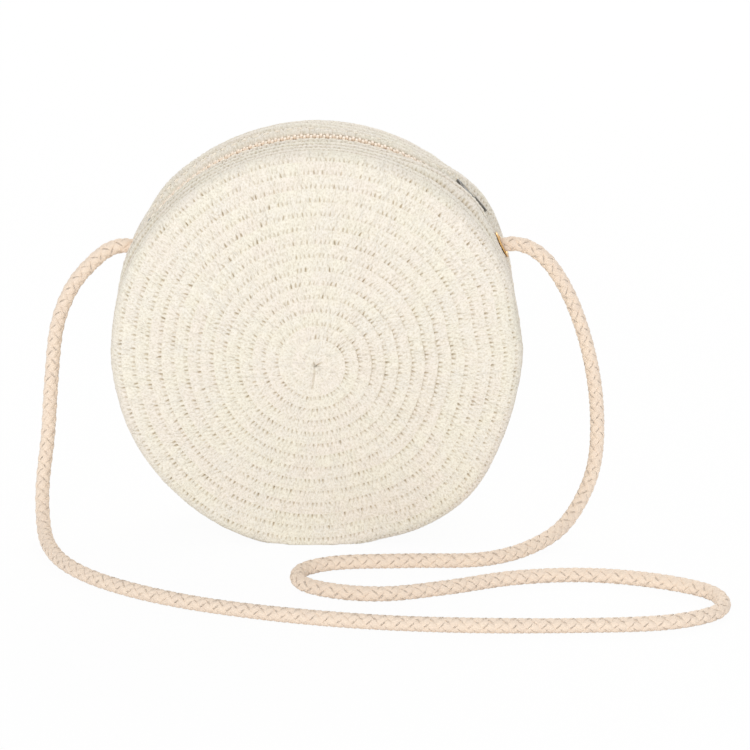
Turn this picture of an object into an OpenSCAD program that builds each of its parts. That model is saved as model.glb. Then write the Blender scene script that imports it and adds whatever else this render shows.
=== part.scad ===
// Round plaited shoulder bag with a zipped mouth and a long braided cord.
// Z is up, X is to the right and the front face looks towards -Y. The origin is
// under the middle of the bag, on the surface that it stands on.

/* [Bag] */
// Diameter of the drum
bag_d = 180; // [150:1:240]
// Depth from face to face
bag_depth = 70; // [56:1:110]
// How far the middle of each face bulges out
face_crown = 2; // [0.5:0.5:5]
// Rounding between a face and the gusset
edge_r = 9; // [5:0.5:14]
// Thickness of the plait
plait_t = 2; // [1.4:0.1:2.6]
// Width of one row of plait
row_w = 5.7; // [4:0.1:9]
// Depth of the groove between two rows
row_groove = 0.5; // [0.2:0.1:0.8]
// How far the base is pressed flat
base_press = 2.5; // [1:0.5:4]

/* [Mouth] */
// The mouth reaches this angle each side of the top
mouth_angle = 57; // [50:1:57]
// Width of the gap between the plaited edges
mouth_gap = 12; // [11:0.5:16]
// Angle from the top at which the fold line of the front meets the rim
fold_angle = 58.5; // [58:0.5:59]

/* [Zip] */
// Rest place of the slider, as an angle from the top
slider_angle = 50.5; // [45:0.5:50.5]
// Height of the chain above the tape's edges under the plait
chain_lift = 0; // [0:0.1:2]
// Thickness of the zip tape
tape_t = 0.6; // [0.4:0.1:0.8]
// How far each tape runs under the plait
tape_margin = 6; // [4:0.5:10]
// Half width of the level shelf that carries the teeth
shelf_w = 3.2; // [2.8:0.1:3.6]
// Gap between the two tapes under the teeth
tape_gap = 2.4; // [2.2:0.1:3]
// Distance from one tooth to the next on a tape
tooth_pitch = 2.8; // [2.6:0.1:4]
// Length of a tooth along the chain
tooth_l = 1.1; // [0.8:0.1:1.1]
// Height of a tooth
tooth_h = 1.6; // [1.4:0.1:2.4]
// How far a tooth reaches past the middle of the chain
tooth_reach = 0.7; // [0.3:0.1:1]
// Length of the slider
slider_l = 12; // [10:0.5:12]
// Width of the slider
slider_w = 9; // [8:0.5:9.5]
// Thickness of the slider's plates and side lips
plate_t = 0.8; // [0.6:0.1:1.1]
// Width of the slider's post and bridge
post_w = 1.8; // [1.4:0.1:2]
// Length of the bridge on the slider
bridge_l = 8; // [7:0.5:9]
// Thickness of the bridge
bridge_t = 0.8; // [0.7:0.1:1.2]
// Length of the pull tab
pull_l = 15; // [12:0.5:20]
// Width of the pull tab
pull_w = 6; // [5.6:0.1:8]
// Thickness of the pull tab
pull_t = 1; // [0.8:0.1:1.4]
// Length of a zip stop along the chain
stop_l = 1.8; // [1.2:0.1:2]

/* [Eyelets] */
// Place of the eyelets, as an angle from the top
eyelet_angle = 63.5; // [63.5:0.5:68]
// Outer diameter of an eyelet's flange
eyelet_d = 12.4; // [11.4:0.1:12.6]
// Diameter of the hole through an eyelet
eyelet_bore = 8.6; // [8.5:0.1:9]
// Wall of an eyelet's barrel
barrel_t = 0.5; // [0.4:0.1:0.7]
// Thickness of the flange and of the washer
flange_t = 0.6; // [0.4:0.1:0.8]

/* [Cord] */
// Diameter of the braided cord
cord_d = 6.5; // [5:0.1:6.5]
// Diameter of the knots at its ends
knot_d = 14.8; // [13:0.1:14.8]
// Length of the tail that hangs from a knot
knot_tail = 14; // [10:1:20]

/* [Lining] */
// Thickness of the lining cloth
lining_t = 0.6; // [0.3:0.1:0.8]

/* [Stitches] */
// Length of a stitch along the mouth
stitch_l = 3; // [2:0.5:4]
// Thickness of the thread
thread_d = 0.6; // [0.4:0.1:0.8]
// Distance from one mouth stitch to the next
stitch_pitch = 5; // [4.5:0.5:8]
// Distance from one seam stitch to the next
seam_pitch = 8; // [5:1:14]
// Length of a seam stitch across the seam
seam_stitch_l = 5; // [4:0.5:8]

/* [Hidden] */
// Gap between the two plaited halves at the seam
seam_gap = 0.3;
// Clearance between pieces of different bodies
body_gap = 0.3;
// Clearance between pieces that lie on each other
lay_gap = 0.1;
// Running clearance of the slider and the pull
run_gap = 0.15;
// Clearance of an eyelet's barrel in the plait
hole_gap = 0.2;
// Clearance of the washer on the barrel
washer_gap = 0.05;
// Overrun of every cut
overrun = 5;
round_fn = 180;
small_fn = 48;

bag_r = bag_d / 2;
centre_z = bag_r - base_press;
face_y = bag_depth / 2;
rim_y = face_y - face_crown;
face_r = bag_r - edge_r;
corner_len = edge_r * PI / 2;
gusset_len = rim_y - edge_r - seam_gap / 2;
meridian_len = face_r + corner_len + gusset_len;
rows = round(meridian_len / row_w);
row_pitch = meridian_len / rows;
crest_shares = [0.22, 0.78];
corner_steps = 6;
face_steps = 3;

mouth_y = mouth_gap / 2;
fold_z = centre_z + bag_r * cos(fold_angle);

under_r = bag_r - plait_t - lay_gap;
chain_r = under_r + chain_lift;
deg_per_mm = 180 / (PI * chain_r);
slider_half_angle = slider_l / 2 * deg_per_mm;
stop_angle = slider_angle + slider_half_angle + (stop_l / 2 + body_gap) * deg_per_mm;
tape_angle = mouth_angle - lay_gap * deg_per_mm;
tooth_span = 2 * slider_angle - (stop_l + body_gap) * deg_per_mm;
tooth_step = tooth_pitch * deg_per_mm;
teeth = floor(tooth_span / tooth_step);
first_tooth_angle = -slider_angle - (stop_l + body_gap) * deg_per_mm;

top_plate_z = tooth_h + run_gap + lay_gap;
slider_sag = chain_r - sqrt(pow(chain_r, 2) - pow(slider_l / 2, 2));
bottom_plate_z = -tape_t - slider_sag - run_gap - plate_t;
bridge_gap = pull_t + 2 * run_gap;
pull_z = top_plate_z + plate_t + run_gap + pull_t / 2;
bridge_z = top_plate_z + plate_t + bridge_gap;
arm_w = (pull_w - post_w) / 2 - 2 * run_gap;
eye_l = bridge_l / 2 + 2 * run_gap + bridge_t;

barrel_d = eyelet_bore + 2 * barrel_t;
washer_d = eyelet_d + flange_t;
washer_drop = bag_r - plait_t - sqrt(pow(bag_r - plait_t, 2) - pow(washer_d / 2, 2)) + lay_gap;
washer_r = bag_r - plait_t - washer_drop - flange_t;

lining_r = under_r - tape_t - body_gap;
lining_y = rim_y - plait_t - body_gap;
lining_bend_y = rim_y - edge_r + (edge_r - plait_t) / 3;
lining_floor_z = plait_t + body_gap;
lining_hole_d = washer_d + 4 * flange_t;

seam_stitch_start = eyelet_angle + (eyelet_d / 2 + seam_pitch / 2) * deg_per_mm;
seam_stitch_end = acos(-centre_z / bag_r) - seam_pitch * deg_per_mm;
stitch_y = mouth_y + row_pitch / 2;
stitch_span = 2 * (mouth_angle - stitch_l * deg_per_mm);
stitch_count = floor(stitch_span / (stitch_pitch * deg_per_mm));
seam_stitches_a_side = floor((seam_stitch_end - seam_stitch_start) / (seam_pitch * deg_per_mm));

// Route of the cord's middle, from the left eyelet to the right one, in mm
cord_route = [
    [-75.2, 0, 125.1], [-81.8, 0, 127.8], [-90.2, 0, 126.6], [-98.2, 0, 120.3],
    [-107, 0, 110], [-114.2, 0, 93], [-117.5, -1, 68], [-119.5, -3, 42],
    [-122, -9, 20], [-121, -22, 7], [-117, -42.5, 3.3], [-108.5, -65.5, 3.3],
    [-90, -89.5, 3.3], [-50, -116.5, 3.3], [22, -139, 3.3], [105, -144, 3.3],
    [151, -138.5, 3.3], [169, -125, 3.3], [168.3, -106.5, 3.3], [150, -91.5, 3.3],
    [117, -81.5, 3.3], [85, -84.5, 3.3], [55, -97, 3.3], [28, -105, 3.3],
    [7, -101, 3.3], [-6.8, -90.5, 3.3], [-7.3, -76, 3.3], [5, -66, 3.3],
    [38, -62.5, 3.3], [72, -60.5, 3.3], [94, -44.5, 4], [110.3, -22.5, 8.5],
    [121.5, -7, 26], [123.5, -1, 49], [119.5, 0, 78], [109.5, 0, 106.7],
    [99, 0, 122.2], [90.6, 0, 127.6], [82, 0, 128.2], [75.4, 0, 125.3]
];
rings_per_step = 2;
cord_sides = 10;
cord_path = smooth_route(cord_route);
// The knots sit this far inside the cord's ends
knot_inset = 6;

// Local X runs clockwise round the rim, local Y is the depth and local Z points outward
module at_angle(a, r) {
    translate([0, 0, centre_z])
        rotate([0, a, 0])
            translate([0, 0, r])
                children();
}

// Sweeps a profile of radius and depth round the rim, between two angles from the top
module round_rim(from, to) {
    translate([0, 0, centre_z])
        rotate([0, -90, -90])
            rotate([0, 0, from])
                rotate_extrude(angle = to - from, $fn = round_fn)
                    children();
}

module full_turn() {
    translate([0, 0, centre_z])
        rotate([0, -90, -90])
            rotate_extrude($fn = round_fn)
                children();
}

// A block over the whole bag, from a height upward
module above(z) {
    translate([-bag_d, -bag_d, z])
        cube([2 * bag_d, 2 * bag_d, 2 * bag_d]);
}

// A point of the plait's section, at a length s from the middle of the face and an inset
// below the surface: its radius and its height above the seam
function section_point(s, inset) =
    s <= face_r ? [s, face_y - face_crown * pow(s / face_r, 2) - inset]
    : s <= face_r + corner_len ? let (a = (s - face_r) / corner_len * 90)
        [face_r + (edge_r - inset) * sin(a), rim_y - edge_r + (edge_r - inset) * cos(a)]
    : [bag_r - inset, rim_y - edge_r - (s - face_r - corner_len)];

function outer_section() = [
    for (i = [0 : rows - 1]) each [
        section_point(i * row_pitch, row_groove),
        for (share = crest_shares) section_point((i + share) * row_pitch, 0)
    ],
    section_point(meridian_len, row_groove),
    [0, seam_gap / 2]
];

function inner_section() = [
    for (i = [0 : face_steps]) section_point(face_r * i / face_steps, plait_t),
    for (i = [1 : corner_steps]) section_point(face_r + corner_len * i / corner_steps, plait_t),
    [bag_r - plait_t, -overrun],
    [0, -overrun]
];

// A plaited bowl that is pressed flat where it stands
module plaited_bowl() {
    difference() {
        intersection() {
            full_turn() polygon(outer_section());
            above(0);
        }
        intersection() {
            full_turn() polygon(inner_section());
            above(plait_t);
        }
    }
}

// One half of the bag, with its side of the mouth and of the eyelet holes
module plaited_half() {
    difference() {
        plaited_bowl();
        mouth_cut(mouth_angle);
        for (side = [-1, 1]) eyelet_hole(side * eyelet_angle, barrel_d + 2 * hole_gap);
    }
}

module mouth_cut(reach) {
    round_rim(-reach, reach)
        translate([bag_r - plait_t - overrun, -mouth_y])
            square([plait_t + 2 * overrun, mouth_gap]);
}

module eyelet_hole(a, d) {
    at_angle(a, bag_r - plait_t - overrun)
        cylinder(d = d, h = plait_t + 2 * overrun, $fn = small_fn);
}

// The room in front of the mouth's front edge
module ahead_of_mouth(gap) {
    translate([-bag_d, -mouth_y - bag_d - gap, 0])
        cube([2 * bag_d, bag_d, 2 * bag_d]);
}

module front_panel() {
    color("antiquewhite")
        difference() {
            mirror([0, 1, 0]) plaited_half();
            intersection() {
                above(fold_z - body_gap / 2);
                ahead_of_mouth(-body_gap);
            }
        }
}

module mouth_flap() {
    color("antiquewhite")
        intersection() {
            mirror([0, 1, 0]) plaited_bowl();
            above(fold_z + body_gap / 2);
            ahead_of_mouth(0);
        }
}

module back_panel() {
    color("antiquewhite") plaited_half();
}

module seam_stitches() {
    color("ivory")
        for (side = [-1, 1], i = [0 : seam_stitches_a_side])
            at_angle(side * (seam_stitch_start + i * seam_pitch * deg_per_mm), bag_r + lay_gap)
                translate([-thread_d / 2, -seam_stitch_l / 2, 0])
                    cube([thread_d, seam_stitch_l, thread_d]);
}

module mouth_stitches(side) {
    color("ivory")
        for (i = [0 : stitch_count])
            at_angle(stitch_span * (i / stitch_count - 0.5), bag_r + lay_gap)
                translate([-stitch_l / 2, side * stitch_y - thread_d / 2, 0])
                    cube([stitch_l, thread_d, thread_d]);
}

// Each tape runs under the plait's edge and rises to the level shelf under the teeth
module zip_tape(side) {
    outer = [
        [under_r, mouth_y + tape_margin],
        [under_r, mouth_y - lay_gap],
        [chain_r, shelf_w],
        [chain_r, tape_gap / 2]
    ];
    inner = [for (i = [3 : -1 : 0]) outer[i] - [tape_t, 0]];
    color("burlywood")
        round_rim(-tape_angle, tape_angle)
            polygon([for (p = concat(outer, inner)) [p[0], side * p[1]]]);
}

module zip_teeth(side) {
    shift = side > 0 ? 0.5 : 0;
    color("tan")
        for (i = [0 : teeth - 1])
            at_angle(first_tooth_angle + (i + shift + 0.5) * tooth_step, chain_r + lay_gap)
                mirror([0, side > 0 ? 0 : 1, 0])
                    translate([-tooth_l / 2, -tooth_reach, 0])
                        cube([tooth_l, tooth_reach + shelf_w - lay_gap, tooth_h]);
}

module zip_bottom_stop() {
    color("silver")
        at_angle(-stop_angle, chain_r + body_gap)
            translate([-stop_l / 2, -shelf_w, 0])
                cube([stop_l, 2 * shelf_w, tooth_h]);
}

module zip_top_stops() {
    top_stop_w = shelf_w - tape_gap / 2;
    color("silver")
        for (side = [0, 1])
            at_angle(stop_angle, chain_r + body_gap)
                mirror([0, side, 0])
                    translate([-stop_l / 2, tape_gap / 2, 0])
                        cube([stop_l, top_stop_w, tooth_h]);
}

// Plan of a slider plate: straight sides and round ends
module plate_plan(width) {
    intersection() {
        square([slider_l, width], center = true);
        circle(d = slider_l + plate_t, $fn = small_fn);
    }
}

module zip_slider() {
    color("silver")
        at_angle(slider_angle, chain_r) {
            translate([0, 0, top_plate_z])
                linear_extrude(plate_t) plate_plan(slider_w);
            translate([0, 0, bottom_plate_z])
                linear_extrude(plate_t) plate_plan(2 * (shelf_w - run_gap));
            // Side lips of the top plate
            translate([0, 0, run_gap])
                linear_extrude(top_plate_z)
                    difference() {
                        plate_plan(slider_w);
                        square([2 * slider_l, slider_w - 2 * plate_t], center = true);
                    }
            // Post between the plates, at the leading end
            translate([slider_l / 2 - 2 * plate_t - post_w, -post_w / 2, bottom_plate_z])
                cube([post_w, post_w, top_plate_z - bottom_plate_z + plate_t / 2]);
            // Bridge that holds the pull
            for (end = [-1, 1])
                translate([end * (bridge_l - bridge_t) / 2 - bridge_t / 2, -post_w / 2, top_plate_z])
                    cube([bridge_t, post_w, bridge_z - top_plate_z + bridge_t]);
            translate([-bridge_l / 2, -post_w / 2, bridge_z])
                cube([bridge_l, post_w, bridge_t]);
        }
}

// The pull lies back over the closed chain, with its cross bar under the bridge
module zip_pull() {
    color("silver")
        at_angle(slider_angle, chain_r)
            translate([0, 0, pull_z]) {
                rotate([90, 0, 0])
                    cylinder(d = pull_t, h = pull_w, center = true, $fn = small_fn);
                translate([0, 0, -pull_t / 2])
                    linear_extrude(pull_t)
                        difference() {
                            union() {
                                translate([-pull_l + pull_w / 2, -pull_w / 2])
                                    square([pull_l - pull_w / 2, pull_w]);
                                translate([-pull_l + pull_w / 2, 0])
                                    circle(d = pull_w, $fn = small_fn);
                            }
                            translate([-eye_l, -pull_w / 2 + arm_w])
                                square([eye_l + overrun, pull_w - 2 * arm_w]);
                            translate([-pull_l + pull_w / 2, 0])
                                circle(d = pull_w / 3, $fn = small_fn);
                        }
            }
}

module eyelet(a) {
    color("gold")
        at_angle(a, bag_r)
            difference() {
                union() {
                    translate([0, 0, lay_gap])
                        cylinder(d = eyelet_d, h = flange_t, $fn = small_fn);
                    translate([0, 0, washer_r - bag_r])
                        cylinder(d = barrel_d, h = bag_r - washer_r + lay_gap + flange_t / 2, $fn = small_fn);
                }
                translate([0, 0, -overrun])
                    cylinder(d = eyelet_bore, h = 2 * overrun, $fn = small_fn);
            }
}

module eyelet_washer(a) {
    color("gold")
        at_angle(a, washer_r)
            difference() {
                cylinder(d = washer_d, h = flange_t, $fn = small_fn);
                translate([0, 0, -overrun])
                    cylinder(d = barrel_d + 2 * washer_gap, h = 2 * overrun, $fn = small_fn);
            }
}

module lining_disc(side) {
    color("linen")
        intersection() {
            translate([0, side * lining_y, centre_z])
                rotate([side * 90, 0, 0])
                    cylinder(r = face_r, h = lining_t, $fn = round_fn);
            above(lining_floor_z);
        }
}

module lining_gusset() {
    half = [
        [lining_r, lining_bend_y],
        [face_r + body_gap, lining_y]
    ];
    inner_half = [
        [face_r + body_gap, lining_y - lining_t],
        [lining_r - lining_t, lining_bend_y - lining_t / 2]
    ];
    profile = concat(
        [for (p = half) p],
        [for (p = inner_half) p],
        [for (i = [1, 0]) [inner_half[i][0], -inner_half[i][1]]],
        [for (i = [1, 0]) [half[i][0], -half[i][1]]]
    );
    color("linen")
        difference() {
            intersection() {
                full_turn() polygon(profile);
                above(lining_floor_z);
            }
            mouth_cut(mouth_angle);
            for (side = [-1, 1]) eyelet_hole(side * eyelet_angle, lining_hole_d);
        }
}

function unit(v) = v / norm(v);
function knot_step(a, b) = sqrt(norm(b - a));

// A point of the smooth curve between b and c, at a share u of the way
function curve_point(a, b, c, d, u) =
    let (
        tb = knot_step(a, b),
        tc = tb + knot_step(b, c),
        td = tc + knot_step(c, d),
        t = tb + (tc - tb) * u,
        ab = a * (tb - t) / tb + b * t / tb,
        bc = b * (tc - t) / (tc - tb) + c * (t - tb) / (tc - tb),
        cd = c * (td - t) / (td - tc) + d * (t - tc) / (td - tc),
        abc = ab * (tc - t) / tc + bc * t / tc,
        bcd = bc * (td - t) / (td - tb) + cd * (t - tb) / (td - tb)
    )
    abc * (tc - t) / (tc - tb) + bcd * (t - tb) / (tc - tb);

// The cord lies on the surface and never dips into it
function on_surface(p) = [p[0], p[1], max(p[2], cord_d / 2)];

function smooth_route(pts) =
    let (
        last = len(pts) - 1,
        ext = concat([2 * pts[0] - pts[1]], pts, [2 * pts[last] - pts[last - 1]])
    )
    [
        for (i = [1 : last], k = [0 : rings_per_step - 1])
            on_surface(curve_point(ext[i - 1], ext[i], ext[i + 1], ext[i + 2], k / rings_per_step)),
        pts[last]
    ];

function tangents(path) = [
    for (i = [0 : len(path) - 1])
        unit(path[min(i + 1, len(path) - 1)] - path[max(i - 1, 0)])
];

// Sideways directions that turn as little as they can from ring to ring
function sides_of(tan) = [
    for (i = 0, n = [0, 1, 0]; i < len(tan); i = i + 1,
        n = i < len(tan) ? unit(n - (n * tan[i]) * tan[i]) : n) n
];

module shoulder_cord() {
    tan = tangents(cord_path);
    side = sides_of(tan);
    last = len(cord_path) - 1;
    points = [
        for (i = [0 : last], k = [0 : cord_sides - 1])
            let (a = 360 * k / cord_sides)
            cord_path[i] + cord_d / 2 * (cos(a) * side[i] + sin(a) * cross(tan[i], side[i]))
    ];
    walls = [
        for (i = [0 : last - 1], k = [0 : cord_sides - 1])
            let (a = i * cord_sides + k, b = i * cord_sides + (k + 1) % cord_sides)
            each [[a, a + cord_sides, b], [b, a + cord_sides, b + cord_sides]]
    ];
    caps = [
        for (k = [1 : cord_sides - 2]) each [
            [0, k, k + 1],
            [last * cord_sides, last * cord_sides + k + 1, last * cord_sides + k]
        ]
    ];
    color("bisque") polyhedron(points, concat(walls, caps));
}

// A knot is pulled up behind its eyelet, cut square where the cord leaves it
module cord_knot(end, next) {
    out = unit(next - end);
    middle = end - knot_inset * out;
    color("bisque")
        difference() {
            union() {
                translate(middle) sphere(d = knot_d, $fn = small_fn);
                translate(middle - [0, 0, knot_tail])
                    cylinder(d = cord_d, h = knot_tail, $fn = small_fn);
            }
            translate(end)
                rotate([0, atan2(out[0], out[2]), 0])
                    translate([-knot_d, -knot_d, 0])
                        cube([2 * knot_d, 2 * knot_d, knot_d]);
        }
}

front_panel();
mouth_flap();
back_panel();
seam_stitches();
mouth_stitches(-1);  // mouth_stitches_front
mouth_stitches(1);  // mouth_stitches_back
zip_tape(-1);  // zip_tape_front
zip_tape(1);  // zip_tape_back
zip_teeth(-1);  // zip_teeth_front
zip_teeth(1);  // zip_teeth_back
zip_bottom_stop();
zip_top_stops();
zip_slider();
zip_pull();
eyelet(-eyelet_angle);  // eyelet_left
eyelet(eyelet_angle);  // eyelet_right
eyelet_washer(-eyelet_angle);  // eyelet_washer_left
eyelet_washer(eyelet_angle);  // eyelet_washer_right
lining_disc(-1);  // lining_front
lining_disc(1);  // lining_back
lining_gusset();
shoulder_cord();
cord_knot(cord_path[0], cord_path[1]);  // cord_knot_left
cord_knot(cord_path[len(cord_path) - 1], cord_path[len(cord_path) - 2]);  // cord_knot_right
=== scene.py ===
"""Looks of the round plaited shoulder bag with its zip, eyelets, lining and braided cord."""

import math

import bmesh
import bpy
import numpy as np
from mathutils import Matrix, Vector


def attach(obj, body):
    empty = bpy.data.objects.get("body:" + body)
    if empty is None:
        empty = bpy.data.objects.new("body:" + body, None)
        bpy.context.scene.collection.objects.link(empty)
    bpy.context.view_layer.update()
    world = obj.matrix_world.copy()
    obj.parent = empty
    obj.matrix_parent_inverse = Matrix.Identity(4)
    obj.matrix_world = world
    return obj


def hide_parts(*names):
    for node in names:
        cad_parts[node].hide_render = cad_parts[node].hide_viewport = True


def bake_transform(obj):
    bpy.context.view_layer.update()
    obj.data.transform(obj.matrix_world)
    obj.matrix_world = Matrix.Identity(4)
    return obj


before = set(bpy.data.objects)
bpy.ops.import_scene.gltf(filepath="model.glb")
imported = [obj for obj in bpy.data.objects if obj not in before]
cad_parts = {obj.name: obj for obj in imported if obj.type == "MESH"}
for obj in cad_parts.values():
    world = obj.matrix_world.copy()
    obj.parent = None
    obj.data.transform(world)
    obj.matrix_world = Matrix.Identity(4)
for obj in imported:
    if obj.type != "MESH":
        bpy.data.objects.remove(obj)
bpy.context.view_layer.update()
scene = bpy.context.scene
chance = np.random.default_rng(20)

# The drum. Lengths are in metres, angles in degrees from the top
BAG_R = 0.090
CENTRE_Z = 0.0875
RIM_Y = 0.033
CROWN = 0.002
EDGE_R = 0.0065
FACE_R = BAG_R - EDGE_R
CORNER = EDGE_R * math.pi / 2
SEAM_Y = 0.00015
MOUTH_ANGLE = 57
MOUTH_Y = 0.006
EYELET_ANGLE = 63.5
EYELET_CUT = 0.0050

# The strip of plait: its rows from the middle of a face to the seam, and its turns
ROWS = 21
PITCH = (FACE_R + CORNER + RIM_Y - EDGE_R - SEAM_Y) / ROWS
STITCH = 0.00205
FACE_TURNS = 14.4
ALL_TURNS = 21.6
WINDING_POINTS = 60001
EVEN_TURNS = 13
STEPPING_TURNS = 4
CALM_ROWS = 1.93
LINED_ROWS = 13
GUSSET_ROW = 15.1

# The zip
CHAIN_R = 0.0879
TAPE_T = 0.0006
TAPE_ANGLE = 58.3
CLOSED_ANGLE = 50.5
TEETH = 54
TOOTH_PITCH = 0.0028
TOOTH_SIZE = (0.00134, 0.0038, 0.0016)
SLIDER_HALF = 0.0060
STOP_GAP = 0.0003
STOP_LENGTH = 0.0018
STOP_HEIGHT = 0.0016
STOP_OUTSIDE = 0.0032
STOP_INSIDE = 0.0012

# The lining, its disc and the strip round the gusset
LINING_T = 0.0006
LINING_Z = 0.0023
LINING_R = 0.081
DISC_Y = 0.0303
STRIP_R = 0.0870
STRIP_Y = 0.02633
STRIP_CUT = 0.0078
STRIP_FOLD_Y = 0.00437
STRIP_FOLD_R = 0.0057

# The stitches
THREAD_D = 0.0006
MOUTH_STITCHES = 36
MOUTH_STITCH = 0.003
SEAM_STITCHES = 19
SEAM_STITCH = 0.005
SEAM_STEP = 0.008
SEAM_START = 0.0102

# The soft drum isn't quite round: the middle and half width of each swelling in degrees, and
# how far it stands out
DENTS = ((80, 12, -0.0020), (100, 20, -0.0009), (130, 24, 0.0010), (139, 25, 0.0033),
         (153, 14, 0.0010), (175, 30, 0.0006), (200, 26, 0.0007), (213, 32, 0.0002),
         (258, 16, -0.0004), (277, 14, -0.0006))
FRONT_BULGES = ((40, 24, 0.0037), (50, 12, 0.0012), (-61, 16, 0.0022), (-40, 22, 0.0007))
BACK_BULGES = ((-8, 18, 0.0020), (-26, 18, 0.0022), (-44, 18, 0.0026), (50, 22, 0.0038))
# The gusset's bulges lie between these lengths past the rounded edge, and fade at both ends
BULGE_FADE_IN = 0.010
BULGE_END = 0.0209
BULGE_FADE_OUT = 0.007
# Three short creases in the middle of the front, from the middle of the spiral
CREASES = ((-0.0016, 0.0050), (0.0048, 0.0027), (-0.0013, -0.0110))
CREASE_WIDTH = 0.0004
CREASE_PRESS = 0.0004
CREASE_START = 0.12

# Route of the cord's middle, from the left eyelet to the right one
CORD_ROUTE = (
    (-0.0752, 0, 0.1251), (-0.0818, 0, 0.1278), (-0.0902, 0, 0.1266), (-0.0982, 0, 0.1203),
    (-0.107, 0, 0.11), (-0.1142, 0, 0.093), (-0.1175, -0.001, 0.068), (-0.1195, -0.003, 0.042),
    (-0.122, -0.009, 0.02), (-0.121, -0.022, 0.007), (-0.117, -0.0425, 0.0033),
    (-0.1085, -0.0655, 0.0033), (-0.09, -0.0895, 0.0033), (-0.05, -0.1165, 0.0033),
    (0.022, -0.139, 0.0033), (0.105, -0.144, 0.0033), (0.151, -0.1385, 0.0033),
    (0.169, -0.125, 0.0033), (0.1683, -0.1065, 0.0033), (0.15, -0.0915, 0.0033),
    (0.117, -0.0815, 0.0033), (0.085, -0.0845, 0.0033), (0.055, -0.097, 0.0033),
    (0.028, -0.105, 0.0033), (0.007, -0.101, 0.0033), (-0.0068, -0.0905, 0.0033),
    (-0.0073, -0.076, 0.0033), (0.005, -0.066, 0.0033), (0.038, -0.0625, 0.0033),
    (0.072, -0.0605, 0.0033), (0.094, -0.0445, 0.004), (0.1103, -0.0225, 0.0085),
    (0.1215, -0.007, 0.026), (0.1235, -0.001, 0.049), (0.1195, 0, 0.078), (0.1095, 0, 0.1067),
    (0.099, 0, 0.1222), (0.0906, 0, 0.1276), (0.082, 0, 0.1282), (0.0754, 0, 0.1253),
)
ROUTE_POINTS = 2001
SMOOTHING = 0.003
CORD_R = 0.00325
CORD_LAY = 0.024
FLOOR_GAP = 0.00014
KNOT_BEHIND = 0.006
KNOT_SIZE = 0.00158
KNOT_CORD_R = 0.0026
KNOT_LAY = 0.0161
TAIL_LENGTH = 0.0138
TAIL_R = 0.0031

# The braid, in shares of the cord's radius
STRAND_MIDDLE = 0.655
STRAND_WEAVE = 0.12
STRAND_HALF_WIDTH = 0.54
STRAND_HALF_THICKNESS = 0.245
STRAND_SIDES = 8
CORE_R = 0.56
CORE_SIDES = 12


def place(angle, radius):
    """Local X runs clockwise round the rim, Y is the depth and Z points outward."""
    return (Matrix.Translation((0, 0, CENTRE_Z))
            @ Matrix.Rotation(math.radians(angle), 4, "Y")
            @ Matrix.Translation((0, 0, radius)))


def ease(share):
    share = np.clip(share, 0.0, 1.0)
    return share * share * (3.0 - 2.0 * share)


def swelling(degrees, swells):
    """How far the soft plait stands out at these angles from the top."""
    total = 0 * degrees
    for middle, half, height in swells:
        away = np.abs((degrees - middle + 180) % 360 - 180) / half
        total = total + height * np.cos(np.minimum(away, 1) * math.pi / 2) ** 2
    return total


def gusset_rise(degrees, past, front):
    """How far the gusset bulges at this length past the rounded edge."""
    bulge = swelling(degrees, FRONT_BULGES if front else BACK_BULGES)
    return bulge * ease(past / BULGE_FADE_IN) * ease((BULGE_END - past) / BULGE_FADE_OUT)


def set_camera():
    eye = Vector((0.01812, -1.73018, 0.58365))
    aim = Vector((0.02514, -0.00481, 0.06981))
    lens = bpy.data.cameras.new("photo_view")
    lens.lens = 196.3
    lens.sensor_width = 36
    camera = bpy.data.objects.new("photo_view", lens)
    camera.location = eye
    camera.rotation_euler = (aim - eye).to_track_quat("-Z", "Y").to_euler()
    scene.collection.objects.link(camera)
    scene.camera = camera


# Shader maths
class Value:
    """A shader socket that takes part in sums."""

    def __init__(self, nodes, socket):
        self.nodes = nodes
        self.socket = socket

    def maths(self, operation, other):
        return self.nodes.node("ShaderNodeMath", {"operation": operation}, {0: self, 1: other})

    def __add__(self, other):
        return self.maths("ADD", other)

    def __mul__(self, other):
        return self.maths("MULTIPLY", other)

    __radd__ = __add__
    __rmul__ = __mul__


class Nodes:
    """A node tree, and the one way in which it gets its nodes."""

    def __init__(self, tree):
        self.tree = tree

    def join(self, value, socket):
        if isinstance(value, Value):
            self.tree.links.new(value.socket, socket)
        else:
            socket.default_value = value

    def node(self, kind, settings=None, sockets=None, out=0):
        made = self.tree.nodes.new(kind)
        for key, value in (settings or {}).items():
            setattr(made, key, value)
        for key, value in (sockets or {}).items():
            self.join(value, made.inputs[key])
        return Value(self, made.outputs[out])

    def seen(self):
        """1 for rays from the camera, a gloss or a glass, and 0 for rays that only light."""
        straight = self.node("ShaderNodeLightPath", out="Is Camera Ray")
        rays = straight.socket.node.outputs
        return (straight + Value(self, rays["Is Glossy Ray"])
                + Value(self, rays["Is Transmission Ray"]))


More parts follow.
